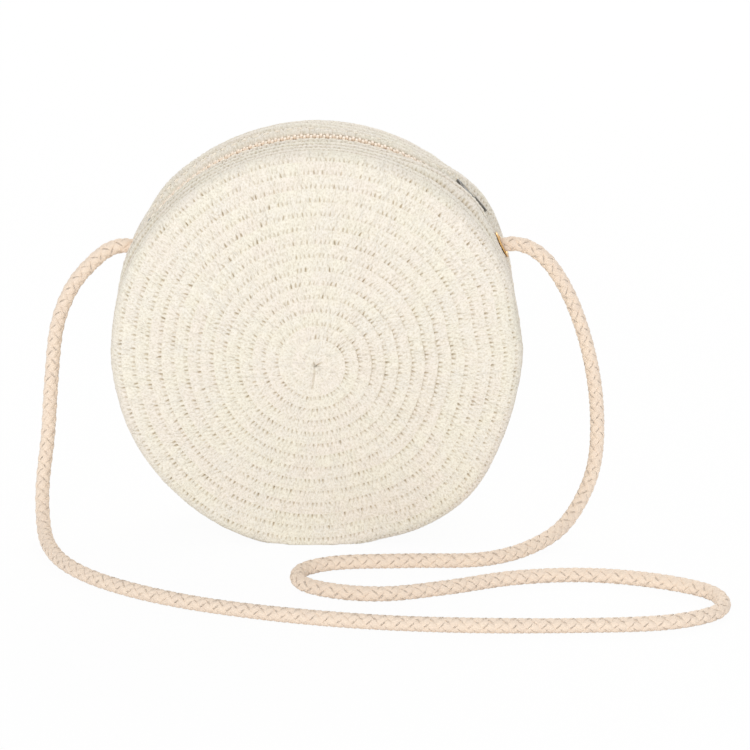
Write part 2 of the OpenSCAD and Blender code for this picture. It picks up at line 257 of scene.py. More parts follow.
class Finish(Nodes):
    """A material and the nodes that make it."""

    def __init__(self, name, **sockets):
        self.material = bpy.data.materials.new(name)
        self.material.use_nodes = True
        super().__init__(self.material.node_tree)
        self.shader = self.tree.nodes["Principled BSDF"]
        self.set(**sockets)

    def set(self, **sockets):
        for key, value in sockets.items():
            self.join(value, self.shader.inputs[key.replace("_", " ")])

    def mark(self, name):
        return self.node("ShaderNodeAttribute", {"attribute_name": name}, out="Fac")

    def place(self):
        return self.node("ShaderNodeTexCoord", out="Object")

    def on_strip(self, along, across):
        """A place on a strip's or strand's own surface."""
        return self.node("ShaderNodeCombineXYZ", sockets={0: along, 1: across})

    def scaled(self, vector, by):
        return self.node("ShaderNodeVectorMath", {"operation": "MULTIPLY"}, {0: vector, 1: by})

    def noise(self, vector, scale, detail=2.0, roughness=0.5):
        return self.node("ShaderNodeTexNoise", sockets={
            "Vector": vector, "Scale": scale, "Detail": detail, "Roughness": roughness})

    def bands(self, vector, direction, scale, distortion, detail_scale=1.0):
        return self.node(
            "ShaderNodeTexWave", {"wave_type": "BANDS", "bands_direction": direction},
            {"Vector": vector, "Scale": scale, "Distortion": distortion, "Detail": 2.0,
             "Detail Scale": detail_scale}, out="Fac")

    def between(self, value, low, high, start=0.0, end=1.0):
        return self.node("ShaderNodeMapRange", sockets={
            "Value": value, "From Min": low, "From Max": high, "To Min": start, "To Max": end})

    def blend(self, share, first, second):
        return self.node("ShaderNodeMix", {"data_type": "RGBA"},
                         {0: share, 6: first, 7: second}, out=2)

    def bump(self, height, depth):
        return self.node("ShaderNodeBump", sockets={
            "Strength": 1.0, "Distance": depth, "Height": height})


WHITE = (1.0, 1.0, 1.0, 1.0)


def colour(red, green, blue):
    """A colour written in 0 to 255, for the shader."""
    shares = (red / 255, green / 255, blue / 255)
    linear = [c / 12.92 if c < 0.04045 else ((c + 0.055) / 1.055) ** 2.4 for c in shares]
    return (*linear, 1.0)


def straw_finish():
    finish = Finish("paper_straw", Roughness=0.72)
    along = finish.mark("along")
    across = finish.mark("across")
    fibres = finish.noise(finish.on_strip(along * 3.2, across * 1.7), 1.0)
    patches = finish.noise(finish.place(), 95.0)
    curls = finish.noise(finish.place(), 1100.0)
    shade = finish.blend(finish.between(finish.mark("tint"), -1.0, 1.0),
                         colour(252, 244, 234), colour(252, 247, 233))
    shade = finish.blend(finish.between(patches, 0.45, 0.75), shade, colour(250, 245, 236))
    shade = finish.blend(finish.between(fibres, 0.47, 0.69, 0.0, 0.7), shade, colour(219, 208, 187))
    shade = finish.blend(finish.between(curls, 0.42, 0.7, 0.0, 0.4), shade, colour(232, 223, 204))
    # Painted shade: the hollow_shade mark darkens the straw towards brown-olive in the gaps between
    # strands, the creases and the lines between rows, where shade falls
    painted_shade = finish.between(finish.mark("hollow_shade"), 0.12, 1.0, 0.0, 0.8)
    finish.set(Base_Color=finish.blend(painted_shade, shade, colour(174, 154, 116)),
               Normal=finish.bump(fibres + curls * 0.5, 0.0006))
    return finish.material


def cotton_finish():
    finish = Finish("braided_cotton", Roughness=0.9, Sheen_Weight=0.12, Sheen_Roughness=0.5)
    along = finish.mark("along")
    across = finish.mark("across")
    yarns = finish.bands(finish.on_strip(along * 0.9, across), "Y", 1.6, 1.6, 2.0)
    fibres = finish.noise(finish.on_strip(along * 1.2, across * 26.0), 1.0, 3.0, 0.6)
    patches = finish.noise(finish.place(), 160.0)
    shade = finish.blend(finish.between(patches, 0.3, 0.7),
                         colour(250, 232, 213), colour(246, 228, 211))
    shade = finish.blend(finish.between(fibres, 0.42, 0.7, 0.0, 0.5), shade, colour(232, 208, 184))
    shade = finish.blend(yarns * 0.25, shade, colour(250, 233, 215))
    # Painted shade: the cord is darker between its strands, towards the core
    painted_shade = finish.between(finish.mark("hollow_shade"), 0.2, 1.0, 0.0, 0.6)
    finish.set(Base_Color=finish.blend(painted_shade, shade, colour(188, 156, 126)),
               Normal=finish.bump(yarns * 0.5 + fibres, 0.0002))
    return finish.material


def tape_finish():
    finish = Finish("woven_tape", Roughness=0.85, Sheen_Weight=0.1)
    spot = finish.on_strip(finish.mark("along"), finish.mark("across"))
    warp = finish.bands(spot, "Y", 8.0, 0.3)
    weft = finish.bands(spot, "X", 0.6, 0.3)
    fuzz = finish.noise(finish.place(), 900.0, 3.0)
    weave = warp * weft
    shade = finish.blend(fuzz, colour(251, 235, 217), colour(246, 229, 209))
    finish.set(Base_Color=finish.blend(weave * 0.2, shade, colour(228, 206, 180)),
               Normal=finish.bump(weave + fuzz * 0.5, 0.00012))
    return finish.material


def cloth_finish():
    finish = Finish("lining_cloth", Roughness=0.88, Sheen_Weight=0.08)
    spot = finish.place()
    weave = finish.bands(spot, "X", 900.0, 0.4) * finish.bands(spot, "Z", 900.0, 0.4)
    creases = finish.noise(spot, 38.0, 3.0)
    shade = finish.blend(creases, colour(238, 230, 214), colour(229, 219, 200))
    finish.set(Base_Color=finish.blend(weave * 0.3, shade, colour(206, 194, 172)),
               Normal=finish.bump(weave * 0.15 + creases, 0.0006))
    return finish.material


def thread_finish():
    finish = Finish("sewing_thread", Roughness=0.6)
    ply = finish.noise(finish.place(), 2600.0)
    finish.set(Base_Color=finish.blend(ply, colour(250, 244, 233), colour(240, 232, 217)),
               Normal=finish.bump(ply, 0.0001))
    return finish.material


def teeth_finish():
    finish = Finish("zip_teeth", Roughness=0.42)
    wear = finish.noise(finish.place(), 420.0, 3.0)
    finish.set(Base_Color=finish.blend(wear, colour(250, 234, 216), colour(244, 227, 207)),
               Roughness=finish.between(wear, 0.3, 0.7, 0.34, 0.5),
               Normal=finish.bump(wear, 0.00005))
    return finish.material


def metal_finish(name, bright, dull, roughness):
    finish = Finish(name, Metallic=1.0)
    spot = finish.place()
    strokes = finish.noise(finish.scaled(spot, (900.0, 5200.0, 900.0)), 1.0)
    smears = finish.noise(spot, 260.0, 3.0)
    finish.set(Base_Color=finish.blend(finish.between(smears, 0.35, 0.7), bright, dull),
               Roughness=finish.between(strokes, 0.3, 0.7, roughness - 0.06, roughness + 0.08),
               Normal=finish.bump(strokes, 0.00002))
    return finish.material


def floor_finish():
    """A white floor for the camera, which still shows a little of the bag's shadow."""
    finish = Finish("pale_floor", Roughness=0.9, Base_Color=(0.94, 0.94, 0.94, 1.0))
    finish.set(Normal=finish.bump(finish.noise(finish.place(), 40.0), 0.0001))
    glow = finish.node("ShaderNodeEmission", sockets={"Color": WHITE, "Strength": 1.0})
    share = finish.node("ShaderNodeMath", {"operation": "MULTIPLY", "use_clamp": True},
                        {0: finish.seen(), 1: 0.955})
    both = finish.node("ShaderNodeMixShader", sockets={
        0: share, 1: Value(finish, finish.shader.outputs[0]), 2: glow})
    finish.join(both, finish.tree.nodes["Material Output"].inputs["Surface"])
    return finish.material


# Meshes
def laid_grid(name, places, marks=None):
    """A grid of faces, bent to these places, which are lines of points."""
    lines, points = places.shape[:2]
    made = bmesh.new()
    bmesh.ops.create_grid(made, x_segments=points - 1, y_segments=lines - 1, size=0.5)
    mesh = bpy.data.meshes.new(name)
    made.to_mesh(mesh)
    made.free()
    mesh.vertices.foreach_set("co", places.astype(np.float32).ravel())
    for mark, values in (marks or {}).items():
        spread = np.broadcast_to(values, (lines, points)).astype(np.float32)
        mesh.attributes.new(mark, "FLOAT", "POINT").data.foreach_set("value", spread.ravel())
    return mesh


def sewn(name, grids, drop=None):
    """One closed mesh from several grids, with their seams merged and their ends filled."""
    made = bmesh.new()
    for grid in grids:
        made.from_mesh(grid)
        bpy.data.meshes.remove(grid)
    bmesh.ops.remove_doubles(made, verts=made.verts, dist=2e-7)
    if drop:
        gone = [f for f in made.faces if drop(f.calc_center_median())]
        bmesh.ops.delete(made, geom=gone, context="FACES")
    rims = [e for e in made.edges if e.is_boundary]
    bmesh.ops.holes_fill(made, edges=rims, sides=0)
    return finished(name, made)


def finished(name, made):
    """A smooth mesh with its faces outwards."""
    bmesh.ops.recalc_face_normals(made, faces=made.faces)
    for face in made.faces:
        face.smooth = True
    mesh = bpy.data.meshes.new(name)
    made.to_mesh(mesh)
    made.free()
    return mesh


def piece(mesh, finish, stands_for, body="bag", bends=False):
    """Puts a mesh in the scene as a piece of the bag, which rides on a body, or else has its
    transform baked into its mesh and rides on none."""
    made = bpy.data.objects.new(mesh.name, mesh)
    scene.collection.objects.link(made)
    mesh.materials.append(finish)
    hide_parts(*stands_for)
    if bends:
        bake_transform(made)
    else:
        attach(made, body)
    return made


# Plait
# One stitch's section: share of the row's width, depth below the surface, further depth in
# the gap between two strands, and in the fainter crease that lies beside it in the band
SECTION = np.array((
    (0.060, 0.00200, 0.00000, 0.00000), (-0.026, 0.00100, 0.00020, 0.00000),
    (-0.030, 0.00030, 0.00030, 0.00000), (0.040, 0.00010, 0.00085, 0.00000),
    (0.130, 0.00002, 0.00105, 0.00000), (0.240, 0.00000, 0.00095, 0.00000),
    (0.360, 0.00000, 0.00045, 0.00010), (0.500, 0.00000, 0.00005, 0.00032),
    (0.660, 0.00000, 0.00000, 0.00040), (0.820, 0.00002, 0.00000, 0.00022),
    (1.030, 0.00050, 0.00000, 0.00000), (0.960, 0.00200, 0.00000, 0.00000),
))
UNDERSIDE = 0.001
GAP_DEPTH = SECTION[:, 2].max()
CREASE_DEPTH = SECTION[:, 3].max()
# A stitch's columns, as shares of its length, and how far each is in the gap and the crease
COLUMN_SHARES = np.array((0.0, 0.25, 0.5, 0.75))
COLUMN_GAP = np.array((1.0, 0.24, 0.0, 0.24))
COLUMN_CREASE = np.array((0.0, 0.2, 1.0, 0.2))
# How uneven the stitches are: in length, as a share of it, and in lean and rise, in metres
UNEVEN_LENGTH = 0.16
UNEVEN_LEAN = 0.0011
UNEVEN_RISE = 0.00006
WIDE_GAP = 1.35
WIDE_GAP_SHARE = 0.04
# Extra roundness of the rows on the gusset
ROUNDING = 0.00085
# How much painted shade darkens the lines between rows, by the share of a row's width
GUSSET_LINE_SHADE = ((-0.03, 0.06, 0.24, 0.4, 0.66, 1.03), (0.75, 0.6, 0.2, 0, 0, 0.6))
FACE_LINE_SHADE = ((-0.03, 0.04, 0.13, 0.9, 1.03), (1, 0.9, 0, 0, 0.7))
# The gaps are longest this far to the left of the top
LONG_GAPS = math.radians(35)
# The spiral's middle lies a little left of the drum's and below it
OFF_CENTRE = (-0.001, -0.005)


def border(turn):
    """The row that the strip's outer edge has reached after so many turns. On the face it
    winds evenly, and on the gusset it steps a row out under the bag."""
    whole = np.floor(turn)
    step = whole + ease((turn - whole - 1 / 3) * 3)
    share = ease((turn - EVEN_TURNS) / STEPPING_TURNS)
    return np.clip(turn * (1 - share) + step * share, 0, ROWS)


def shell(reach, angle, depth, front):
    """Places on one half, by the length from the middle of its face, the angle from the top
    and the depth below the surface."""
    lean = np.clip(reach - FACE_R, 0, CORNER) / EDGE_R
    past = np.maximum(reach - FACE_R - CORNER, 0)
    flat = np.minimum(reach, FACE_R)
    fade = 1 - flat / FACE_R
    sine = np.sin(angle)
    cosine = np.cos(angle)
    degrees = np.degrees(angle if front else -angle)
    pushed = swelling(degrees, DENTS) * (flat / FACE_R) ** 2 + gusset_rise(degrees, past, front)

    def from_middle(thickness):
        out = flat + (EDGE_R - thickness) * np.sin(lean) + pushed
        return (out * sine + OFF_CENTRE[0] * fade, out * cosine + OFF_CENTRE[1] * fade)

    across, up = from_middle(depth)
    surface = from_middle(0 * depth)[1]
    from_centre = np.minimum(np.hypot(across, up) / FACE_R, 1)
    swell = np.where(reach < FACE_R, CROWN * (1 - from_centre ** 2), 0)
    forward = RIM_Y - EDGE_R + swell + (EDGE_R - depth) * np.cos(lean) - past
    # Under the bag the plait is pressed flat on the floor
    lift = np.maximum(-(CENTRE_Z + surface), 0)
    height = np.maximum(CENTRE_Z + up + lift, 0)
    places = np.stack((across, -forward, height), axis=-1)
    return places if front else places * (-1, -1, 1)


def creased_by(reach, angle):
    """How far each place lies in one of the creases, from 0 to 1."""
    spot = np.stack((reach * np.sin(angle), reach * np.cos(angle)), axis=-1)
    most = 0 * reach
    for tip in np.array(CREASES):
        along = np.clip(spot @ tip / (tip @ tip), CREASE_START, 1)
        away = np.linalg.norm(spot - along[..., None] * tip, axis=-1)
        most = np.maximum(most, np.exp(-(away / CREASE_WIDTH) ** 2))
    return most


def winding():
    """Turns and lengths along the middle of the strip."""
    turns = np.linspace(0, ALL_TURNS, WINDING_POINTS)
    middle = (border(turns) + border(turns - 1)) / 2 * PITCH
    lean = np.clip(middle - FACE_R, 0, CORNER) / EDGE_R
    radius = np.minimum(middle, FACE_R) + EDGE_R * np.sin(lean)
    steps = np.diff(turns) * 2 * math.pi * (radius[1:] + radius[:-1]) / 2
    return turns, np.concatenate(((0,), np.cumsum(steps)))


def to_columns(values):
    """Values of the stitches, carried over evenly to their columns."""
    later = np.append(values[1:], values[-1:])
    mixed = values[:, None] * (1 - COLUMN_SHARES) + later[:, None] * COLUMN_SHARES
    return np.append(mixed.ravel(), values[-1])[:, None]


def in_columns(pattern, count, last):
    return np.append(np.tile(pattern, count), last)[:, None]


def uneven_stitches(count):
    """How wide each stitch's gap is, how deep its crease, how far it leans and stands out, and
    its tint."""
    gap = np.clip(0.72 + 0.2 * chance.standard_normal(count), 0.3, 1.1)
    gap = np.where(chance.random(count) < WIDE_GAP_SHARE, WIDE_GAP, gap)
    crease = np.clip(0.7 + 0.5 * chance.standard_normal(count), 0, 1.6)
    lean = np.clip(UNEVEN_LEAN * chance.standard_normal(count), -0.002, 0.002)
    lean[[0, -1]] = 0
    rise = UNEVEN_RISE * chance.standard_normal(count)
    tint = np.convolve(chance.standard_normal(count + 8), np.ones(9) / 3, "valid")
    return [to_columns(values) for values in (gap, crease, lean, rise, tint)]


def closed(lines):
    """Lines of points that end where they start."""
    return np.concatenate((lines, lines[:, :1]), axis=1)


def strip(name, first, last, front):
    """The sewn strip from one turn to another, with the gaps between its strands and with its
    two edges."""
    turns, lengths = winding()
    start, end = np.interp((first, last), turns, lengths)
    count = int(round((end - start) / STITCH))
    uneven = UNEVEN_LENGTH * chance.uniform(-1, 1, count)
    begin = start + (end - start) * (np.arange(count) + uneven) / count
    begin[0] = start
    begin = np.append(begin, end)
    steps = np.diff(begin)[:, None] * COLUMN_SHARES
    where = np.append((begin[:-1, None] + steps).ravel(), end)[:, None]
    turn = np.interp(where, lengths, turns)
    inner = border(turn - 1)
    width = border(turn) - inner
    gap, crease, lean, rise, tint = uneven_stitches(count)
    share, base, deeper, creased = SECTION.T[:, None]

    # How far each column lies towards the upper left, the top and the right, seen from in front
    corner = np.cos(2 * math.pi * turn + (LONG_GAPS if front else -LONG_GAPS))
    upper = np.maximum(np.cos(2 * math.pi * turn), 0)
    right = np.sin(2 * math.pi * turn) * (1 if front else -1)
    # The plait is calmest in the middle disc, and its gaps are longest at the upper left
    clear = 0.44 + 0.56 * ease((inner - CALM_ROWS) / 0.06)
    longer = np.where(share > 0.2, 0.88 + 0.14 * corner, 1.0)
    opening = in_columns(COLUMN_GAP, count, 1) * gap * clear * (1 - 0.18 * upper) * longer
    wrinkle = in_columns(COLUMN_CREASE, count, 0) * crease * clear
    # On the gusset the rows are rounder, most of all at the left
    gusset = ease((inner - GUSSET_ROW) / 1.2)
    rounding = ROUNDING * gusset * (0.7 - 0.3 * right)
    groove = clear * (0.4 - 0.15 * corner + gusset)
    surface = base * groove + rise + rounding * (2 * share - 1) ** 2
    depth = np.where(base < UNDERSIDE, surface, base) + deeper * opening + creased * wrinkle
    slant = lean * (np.minimum(share, 0.45) - 0.2) * np.minimum(width, 1)
    angle = 2 * math.pi * np.interp(where + slant, lengths, turns)
    reach = PITCH * (inner + width * share)

    # Painted shade in the gaps between strands and in the creases beside them, as deep as each gap
    # opens
    hollow_shade = opening * deeper / GAP_DEPTH + 0.35 * wrinkle * creased / CREASE_DEPTH
    # Painted shade also darkens the lines between the rows all round the gusset, and on the
    # face's inner rows at the right
    hollow_shade = hollow_shade + gusset * (0.6 - 0.2 * right) * np.interp(share, *GUSSET_LINE_SHADE)
    lined_shade = 0.42 * clear * ease((LINED_ROWS - inner) / 4) * crease * np.maximum(right, 0)
    hollow_shade = hollow_shade + lined_shade * np.interp(share, *FACE_LINE_SHADE)
    # The three creases are pressed in, and painted shade darkens them
    if front and first == 0:
        pressed = creased_by(reach, angle)
        depth = depth + CREASE_PRESS * pressed
        hollow_shade = hollow_shade + 0.5 * pressed
    return laid_grid(name, closed(shell(reach, angle, depth, front)), {
        "along": np.arange(len(where))[:, None] / len(COLUMN_SHARES), "across": closed(share * 3),
        "hollow_shade": closed(np.clip(hollow_shade, 0, 1)), "tint": tint})


def plait(name, spans, front):
    """Lengths of the strip, sewn to each other and cut out for the eyelets."""
    axes = [place(side * EYELET_ANGLE, 0).inverted() for side in (-1, 1)]

    def at_eyelet(middle):
        for axis in axes:
            local = axis @ middle
            if local.z > 0 and math.hypot(local.x, local.y) < EYELET_CUT:
                return True
        return False

    grids = [strip(name, first, last, front) for first, last in spans]
    mesh = sewn(name, grids, at_eyelet)
    mesh.set_sharp_from_angle(angle=math.radians(76))
    return mesh


def make_plait(straw):
    edge = MOUTH_ANGLE / 360
    face = ((0, FACE_TURNS),)
    rim = ((FACE_TURNS, ROWS - edge), (ROWS + edge, ALL_TURNS))
    panels = {"front": ("front_panel", "mouth_flap"), "back": ("back_panel",)}
    for word, stands_for in panels.items():
        front = word == "front"
        for part, spans in (("face", face), ("rim", rim)):
            mesh = plait("plait_" + word + "_" + part, spans, front)
            piece(mesh, straw, stands_for, bends=front)


# Cord
def unit(vectors):
    return vectors / np.linalg.norm(vectors, axis=-1, keepdims=True)


def run_along(path):
    """The length along a line, at each of its points."""
    steps = np.linalg.norm(np.diff(path, axis=0), axis=1)
    return np.concatenate(((0,), np.cumsum(steps)))


def evenly(path, count):
    """The same line with points the same length apart."""
    run = run_along(path)
    at = np.linspace(0, run[-1], count)
    return np.stack([np.interp(at, run, path[:, k]) for k in range(3)], axis=1)


def curve_between(a, b, c, d, shares):
    """Points from b to c, on the smooth curve through all four."""
    tb = math.sqrt(np.linalg.norm(b - a))
    tc = tb + math.sqrt(np.linalg.norm(c - b))
    td = tc + math.sqrt(np.linalg.norm(d - c))
    t = (tb + (tc - tb) * shares)[:, None]
    ab = a * (tb - t) / tb + b * t / tb
    bc = b * (tc - t) / (tc - tb) + c * (t - tb) / (tc - tb)
    cd = c * (td - t) / (td - tc) + d * (t - tc) / (td - tc)
    abc = ab * (tc - t) / tc + bc * t / tc
    bcd = bc * (td - t) / (td - tb) + cd * (t - tb) / (td - tb)
    return abc * (tc - t) / (tc - tb) + bcd * (t - tb) / (tc - tb)


def smooth_route(route):
    """An even line of points along the route, with its bends smoothed, above the floor."""
    points = np.array(route, float)
    before = 2 * points[:1] - points[1:2]
    after = 2 * points[-1:] - points[-2:-1]
    points = np.concatenate((before, points, after))
    shares = np.linspace(0, 1, 40, endpoint=False)
    parts = [curve_between(*points[i:i + 4], shares) for i in range(len(points) - 3)]
    rough = np.concatenate(parts + [points[-2:-1]])
    path = evenly(rough, ROUTE_POINTS)
    step = run_along(rough)[-1] / (ROUTE_POINTS - 1)
    reach = int(3 * SMOOTHING / step)
    bell = np.exp(-0.5 * (np.arange(-reach, reach + 1) * step / SMOOTHING) ** 2)
    bell /= bell.sum()
    before = 2 * path[:1] - path[reach:0:-1]
    after = 2 * path[-1:] - path[-2:-reach - 2:-1]
    longer = np.concatenate((before, path, after))
    path = np.stack([np.convolve(longer[:, k], bell, "valid") for k in range(3)], axis=1)
    path[:, 2] = np.maximum(path[:, 2], CORD_R + FLOOR_GAP)
    return path


def frames_along(path):
    """Sideways and upward directions that turn as little as they can."""
    forward = unit(np.gradient(path, axis=0))
    side = np.empty_like(path)
    last = np.array((0.0, 1.0, 0.0) if abs(forward[0][1]) < 0.9 else (1.0, 0.0, 0.0))
    for i, direction in enumerate(forward):
        last = unit(last - direction * (last @ direction))
        side[i] = last
    return side, np.cross(forward, side)


def braid(name, path, radius, lay):
    """Eight strands, four each way, that pass over and under each other round a core."""
    side, up = frames_along(path)
    run = run_along(path)[:, None]
    radius = radius * (1 + 0.025 * np.sin(run * 61) * np.sin(run * 23 + 1))
    around = np.linspace(0, 2 * math.pi, STRAND_SIDES + 1)[None, :, None]
    grids = []
    for way in (1, -1):
        over = way * np.cos(8 * math.pi * run / lay)
        for strand in range(4):
            turn = way * 2 * math.pi * run / lay + strand * math.pi / 2
            out = np.cos(turn) * side + np.sin(turn) * up
            middle = path + radius * (STRAND_MIDDLE + STRAND_WEAVE * over) * out
            heading = unit(np.gradient(middle, axis=0))
            out = unit(out - heading * (out * heading).sum(axis=1, keepdims=True))
            wide = STRAND_HALF_WIDTH * radius * np.cross(heading, out)
            thick = STRAND_HALF_THICKNESS * radius * out
            places = (middle[:, None] + np.cos(around) * wide[:, None]
                      + np.sin(around) * thick[:, None])
            # Painted shade: each strand's colour darkens on its side towards the core, where shade
            # falls between the strands
            height = np.linalg.norm(places - path[:, None], axis=2) / radius
            grids.append(laid_grid(name, places, {
                "along": run * 1000 + strand * 7, "across": around[:, :, 0] / (2 * math.pi),
                "hollow_shade": np.clip((0.92 - height) / 0.34, 0, 1)}))
    around = np.linspace(0, 2 * math.pi, CORE_SIDES + 1)[None, :, None]
    core = np.cos(around) * side[:, None] + np.sin(around) * up[:, None]
    core = path[:, None] + CORE_R * radius[:, None] * core
    # The core is given full painted shade, as it lies in shade inside the braid
    grids.append(laid_grid(name, core[::3], {"hollow_shade": 1.0}))
    return sewn(name, grids)


def knot(name, end, out):
    """The cord's end, tied in a knot behind its eyelet, with a short tail that hangs down."""
    middle = end - KNOT_BEHIND * out
    deep = np.array((0, 1.0, 0))
    turn = np.linspace(0, 2 * math.pi, 120)[:, None]
    loops = middle + KNOT_SIZE * (
        (np.sin(turn) + 2 * np.sin(2 * turn)) * np.cross(out, deep)
        + (np.cos(turn) - 2 * np.cos(2 * turn)) * deep - np.sin(3 * turn) * out)
    share = np.linspace(0, 1, 50)[:, None]
    tail = middle + np.concatenate(
        (0.0006 * np.sin(share * 5), 0 * share, -TAIL_LENGTH * share), axis=1)
    made = bmesh.new()
    for mesh in (braid(name, loops, KNOT_CORD_R, KNOT_LAY), braid(name, tail, TAIL_R, CORD_LAY)):
        made.from_mesh(mesh)
        bpy.data.meshes.remove(mesh)
    return finished(name, made)


def make_cord(cotton):
    path = smooth_route(CORD_ROUTE)
    for word, end, further in (("left", 0, 12), ("right", -1, -13)):
        mesh = knot("knot_" + word, path[end], unit(path[further] - path[end]))
        piece(mesh, cotton, ("cord_knot_" + word,))
    mesh = braid("braided_cord", evenly(path, 1150), CORD_R, CORD_LAY)
    cord = piece(mesh, cotton, ("shoulder_cord",))


# Zip
def tape_profile():
    """Radius and depth round one tape, whose inner edge is rounded."""
    top = [(CHAIN_R, y / 1000) for y in (12, 9, 6.4, 5.5, 4.6, 3.8, 3, 2, 1.2, 0.7)]
    edge = [(CHAIN_R - 0.0001, 0.00055), (CHAIN_R - TAPE_T / 2, 0.00045),
            (CHAIN_R + 0.0001 - TAPE_T, 0.00055)]
    return top + edge + [(radius - TAPE_T, y) for radius, y in reversed(top)]


def zip_tape(name, side):
    """The tape's profile, swept round the rim."""
    profile = tape_profile()
    loop = np.array(profile + profile[:1])
    radius, depth = loop.T[:, None]
    angles = np.radians(np.linspace(-TAPE_ANGLE, TAPE_ANGLE, 326))[:, None]
    places = np.stack((radius * np.sin(angles), side * depth + 0 * angles,
                       CENTRE_Z + radius * np.cos(angles)), axis=-1)
    return sewn(name, [laid_grid(name, places, {
        "along": angles * 90, "across": run_along(loop) * 1000})])


def zip_teeth(name, side):
    """One row of teeth, half a step further on at the back."""
    step = math.degrees(TOOTH_PITCH / CHAIN_R)
    first = -CLOSED_ANGLE - math.degrees(0.0021 / CHAIN_R)
    further = 1.0 if side > 0 else 0.5
    size = Matrix.Diagonal((*TOOTH_SIZE, 1))
    made = bmesh.new()
    for i in range(TEETH):
        spot = place(first + (i + further) * step, CHAIN_R + 0.0009)
        spot = spot @ Matrix.Translation((0, side * 0.0012, 0)) @ size
        bmesh.ops.create_cube(made, size=1, matrix=spot)
    bmesh.ops.bevel(made, geom=made.edges[:], offset=0.00028, segments=1, profile=0.5,
                    affect="EDGES", material=-1)
    return finished(name, made)


def stop_bars(name, angle, spans):
    """Metal bars across the chain, each from one depth to another."""
    made = bmesh.new()
    for low, high in spans:
        spot = (place(angle, CHAIN_R + 0.0011) @ Matrix.Translation((0, (low + high) / 2, 0))
                @ Matrix.Diagonal((STOP_LENGTH, high - low, STOP_HEIGHT, 1)))
        bmesh.ops.create_cube(made, size=1, matrix=spot)
    bmesh.ops.bevel(made, geom=made.edges[:], offset=0.00045, segments=3, profile=0.5,
                    affect="EDGES", material=-1)
    return finished(name, made)


def rounded(name, node, width):
    """A copy of a solid with its doubles merged and its sharp edges rounded."""
    made = bmesh.new()
    made.from_mesh(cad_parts[node].data)
    bmesh.ops.remove_doubles(made, verts=made.verts, dist=1e-6)
    bmesh.ops.dissolve_limit(made, angle_limit=math.radians(3), verts=made.verts, edges=made.edges)
    sharp = [e for e in made.edges if e.is_manifold and e.calc_face_angle() > math.radians(35)]
    bmesh.ops.bevel(made, geom=sharp, offset=width, segments=3, profile=0.5, affect="EDGES",
                    material=-1, clamp_overlap=True)
    mesh = finished(name, made)
    mesh.set_sharp_from_angle(angle=math.radians(40))
    return mesh


def make_zip(tape, plastic, steel):
    for side, word in ((-1, "front"), (1, "back")):
        piece(zip_tape("tape_" + word, side), tape, ("zip_tape_" + word,),
              bends=side < 0)
        piece(zip_teeth("teeth_" + word, side), plastic, ("zip_teeth_" + word,),
              bends=side < 0)
    edge = CLOSED_ANGLE + math.degrees((SLIDER_HALF + STOP_LENGTH / 2 + STOP_GAP) / CHAIN_R)
    whole = ((-STOP_OUTSIDE, STOP_OUTSIDE),)
    halves = ((-STOP_OUTSIDE, -STOP_INSIDE), (STOP_INSIDE, STOP_OUTSIDE))
    for mesh, node, body in (
        (stop_bars("bottom_stop", -edge, whole), "zip_bottom_stop", "bag"),
        (stop_bars("top_stops", edge, halves), "zip_top_stops", "bag"),
        (rounded("slider_body", "zip_slider", 0.00022), "zip_slider", "slider"),
        (rounded("pull_tab", "zip_pull", 0.00026), "zip_pull", "pull"),
    ):
        piece(mesh, steel, (node,), body)


# Eyelets, whose profiles are in millimetres of radius and height
FLANGE = (
    (4.3, -2.94), (4.3, -1.2), (4.3, 0.25), (4.38, 0.48), (4.55, 0.63), (4.8, 0.7),
    (5.3, 0.7), (5.75, 0.62), (6.05, 0.45), (6.2, 0.25), (6.18, 0.13), (6.0, 0.1),
    (5.3, 0.1), (4.95, 0.1), (4.8, -0.05), (4.8, -1.2), (4.8, -2.94),
)
WASHER = (
    (4.87, -2.94), (6.2, -2.94), (6.42, -2.86), (6.5, -2.64), (6.42, -2.42), (6.2, -2.34),
    (5.1, -2.34), (4.87, -2.5),
)


def spun(name, profile, spot):
    """A closed profile, spun round the axis of an eyelet."""
    made = bmesh.new()
    corners = [made.verts.new((radius, 0, height)) for radius, height in profile]
    edges = [made.edges.new((corners[i - 1], corners[i])) for i in range(len(corners))]
    bmesh.ops.spin(made, geom=corners + edges, cent=(0, 0, 0), axis=(0, 0, 1), dvec=(0, 0, 0),
                   angle=2 * math.pi, steps=64, use_merge=True)
    bmesh.ops.remove_doubles(made, verts=made.verts, dist=1e-7)
    bmesh.ops.transform(made, matrix=spot, verts=made.verts)
    return finished(name, made)


def make_eyelets(brass):
    for side, word in ((-1, "left"), (1, "right")):
        spot = place(side * EYELET_ANGLE, BAG_R) @ Matrix.Scale(0.001, 4)
        piece(spun("ring_" + word, FLANGE, spot), brass, ("eyelet_" + word,))
        piece(spun("washer_" + word, WASHER, spot), brass,
              ("eyelet_washer_" + word,))


# Lining
def lining_disc(name, side):
    """A round cloth with a rounded edge, a little slack between the middle and the edge."""
    turn = np.radians(np.linspace(0, 360, 181))[:, None]
    rings = (0, 0.02, 0.04, 0.06, 0.075, 0.0805, LINING_R)
    radius = np.array(rings + rings[::-1])
    inward = np.array((0,) * 6 + (LINING_T / 3, LINING_T * 2 / 3) + (LINING_T,) * 6)
    slack = 0.0004 * np.sin(3 * turn + 1) * np.sin(np.pi * radius / LINING_R)
    places = np.stack((radius * np.sin(turn), side * (DISC_Y - inward + slack),
                       CENTRE_Z + radius * np.cos(turn)), axis=-1)
    return sewn(name, [laid_grid(name, places)])


